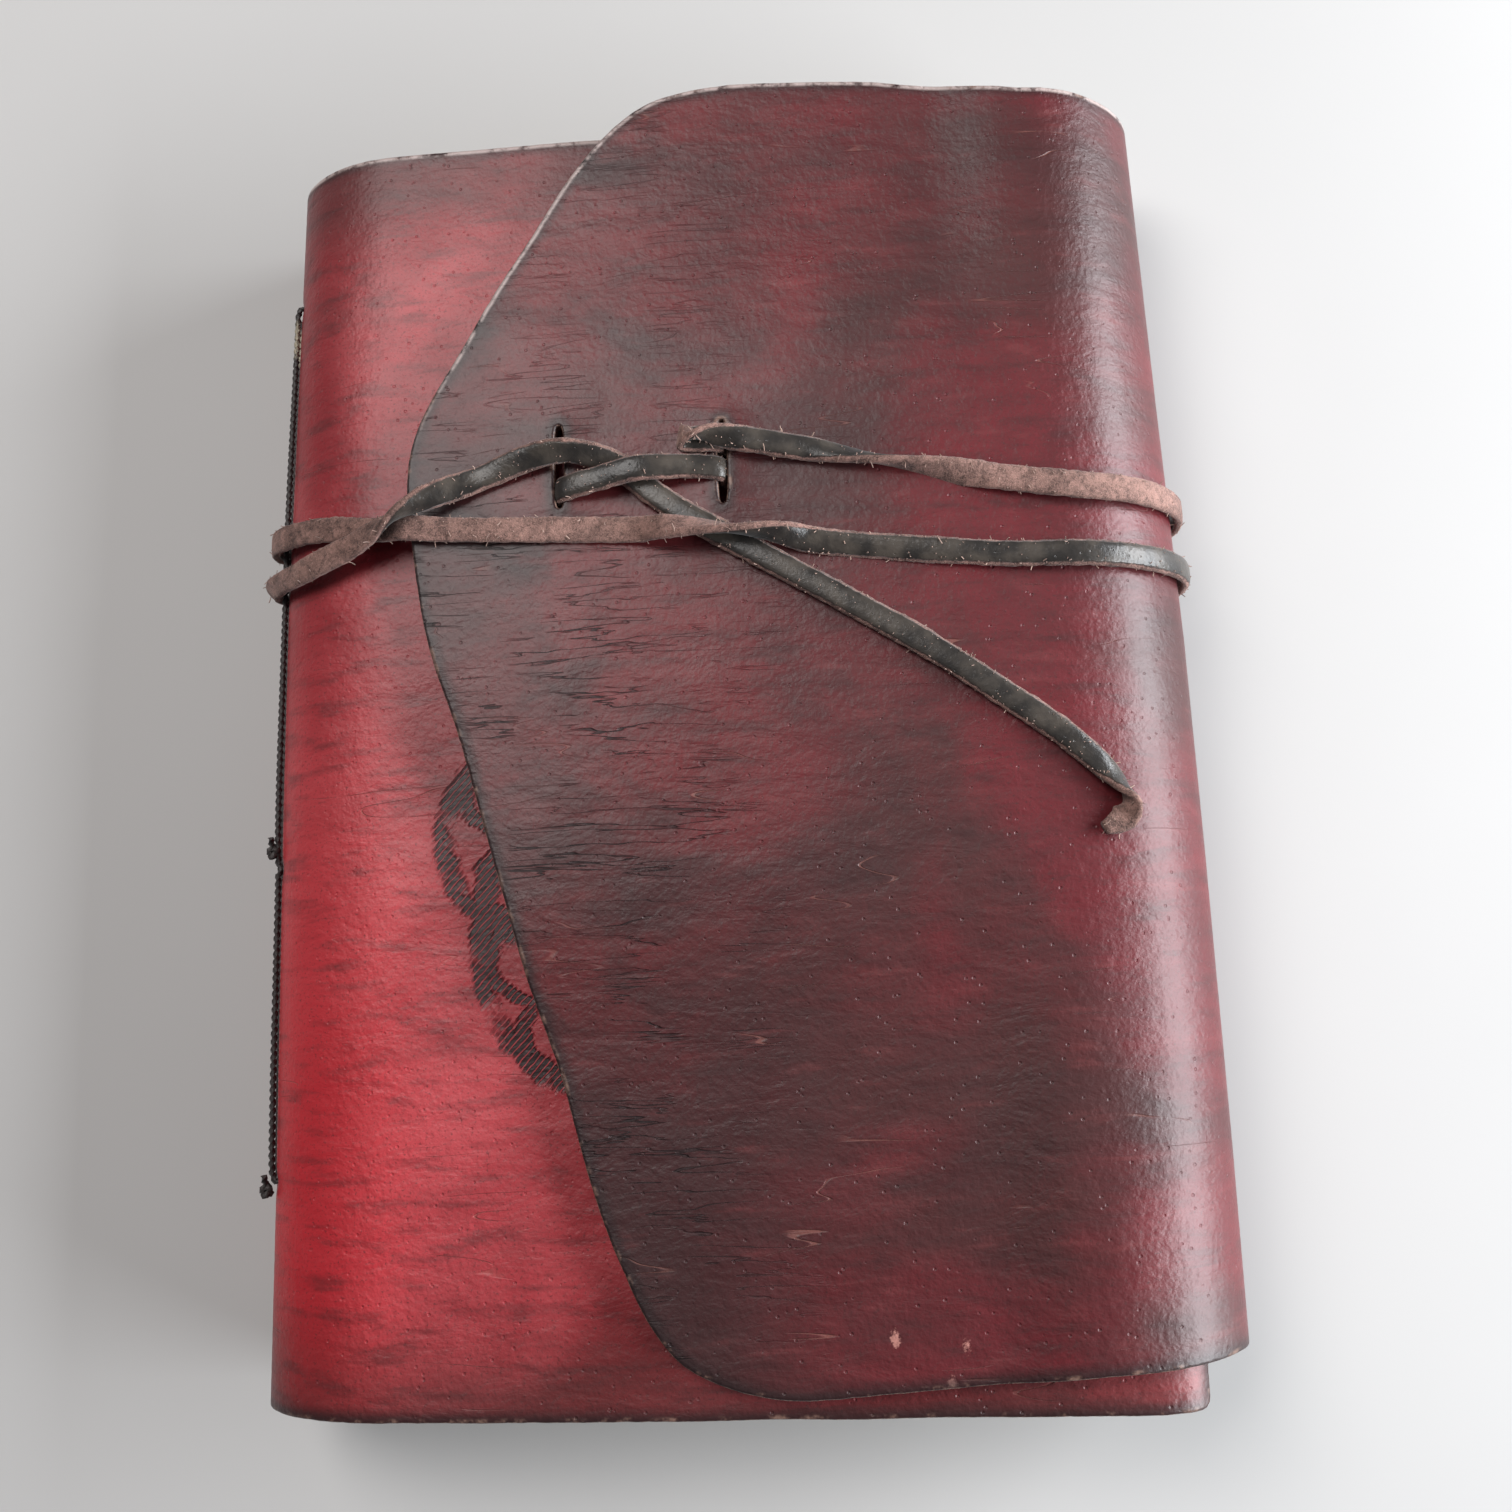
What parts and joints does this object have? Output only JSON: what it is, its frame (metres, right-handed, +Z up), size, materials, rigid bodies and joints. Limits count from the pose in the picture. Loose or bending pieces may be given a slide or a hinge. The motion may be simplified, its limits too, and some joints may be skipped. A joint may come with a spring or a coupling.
{
  "type": "leather notebook cover",
  "caption": "Limp leather journal with a wrap-over flap, long-stitched spine and a flat leather lace wound round it.",
  "frame": {"origin": "centre of the journal's box on the surface it lies on, lace left out", "axes": "+Y towards the head, along the journal's height; +Z up through the front cover and flap; -X is the spine and +X the fore-edge"},
  "size_m": [0.1345, 0.1826, 0.0314],
  "materials": {
    "cover_leather": "oxblood pull-up leather, burnished",
    "front_leather": "crimson leather with darker burnish",
    "flap_leather": "oxblood leather mottled with black-brown, semi-gloss",
    "lace_leather": "dark grain side, pale fuzzy suede side",
    "paper": "uncoated cream paper",
    "thread": "waxed linen thread"
  },
  "bodies": {
    "block": {"back_cover": "cover_leather", "spine": "cover_leather", "front_signature_wrapper": "paper", "front_signature_pages": "paper", "middle_signature_wrapper": "paper", "middle_signature_pages": "paper", "rear_signature_wrapper": "paper", "rear_signature_pages": "paper", "front_thread": "thread", "middle_thread": "thread", "rear_thread": "thread", "thread_knot_middle": "thread", "thread_knot_tail": "thread"},
    "front": {"front_cover": "front_leather"},
    "wall": {"fore_edge": "flap_leather"},
    "flap": {"flap": "flap_leather", "lace": "lace_leather"}
  },
  "joints": [
    {"name": "fore_edge_fold", "type": "hinge", "parent": "block", "child": "wall", "pos_m": [0.06155, 0, 0.00435], "axis": [0, 1, 0], "range_deg": [0, 90], "deforming": ["fore_edge"]},
    {"name": "flap_fold", "type": "hinge", "parent": "wall", "child": "flap", "pos_m": [0.06155, 0, 0.02365], "axis": [0, 1, 0], "range_deg": [0, 90], "deforming": ["flap", "lace"]},
    {"name": "front_cover_fold", "type": "hinge", "parent": "block", "child": "front", "pos_m": [-0.064, 0, 0.0121], "axis": [0, -1, 0], "range_deg": [0, 179.1], "deforming": ["spine"]}
  ],
  "couplings": [
    {"joint": "flap_fold", "follows": "fore_edge_fold", "ratio": 1},
    {"joint": "front_cover_fold", "follows": "fore_edge_fold", "ratio": 1.99}
  ]
}
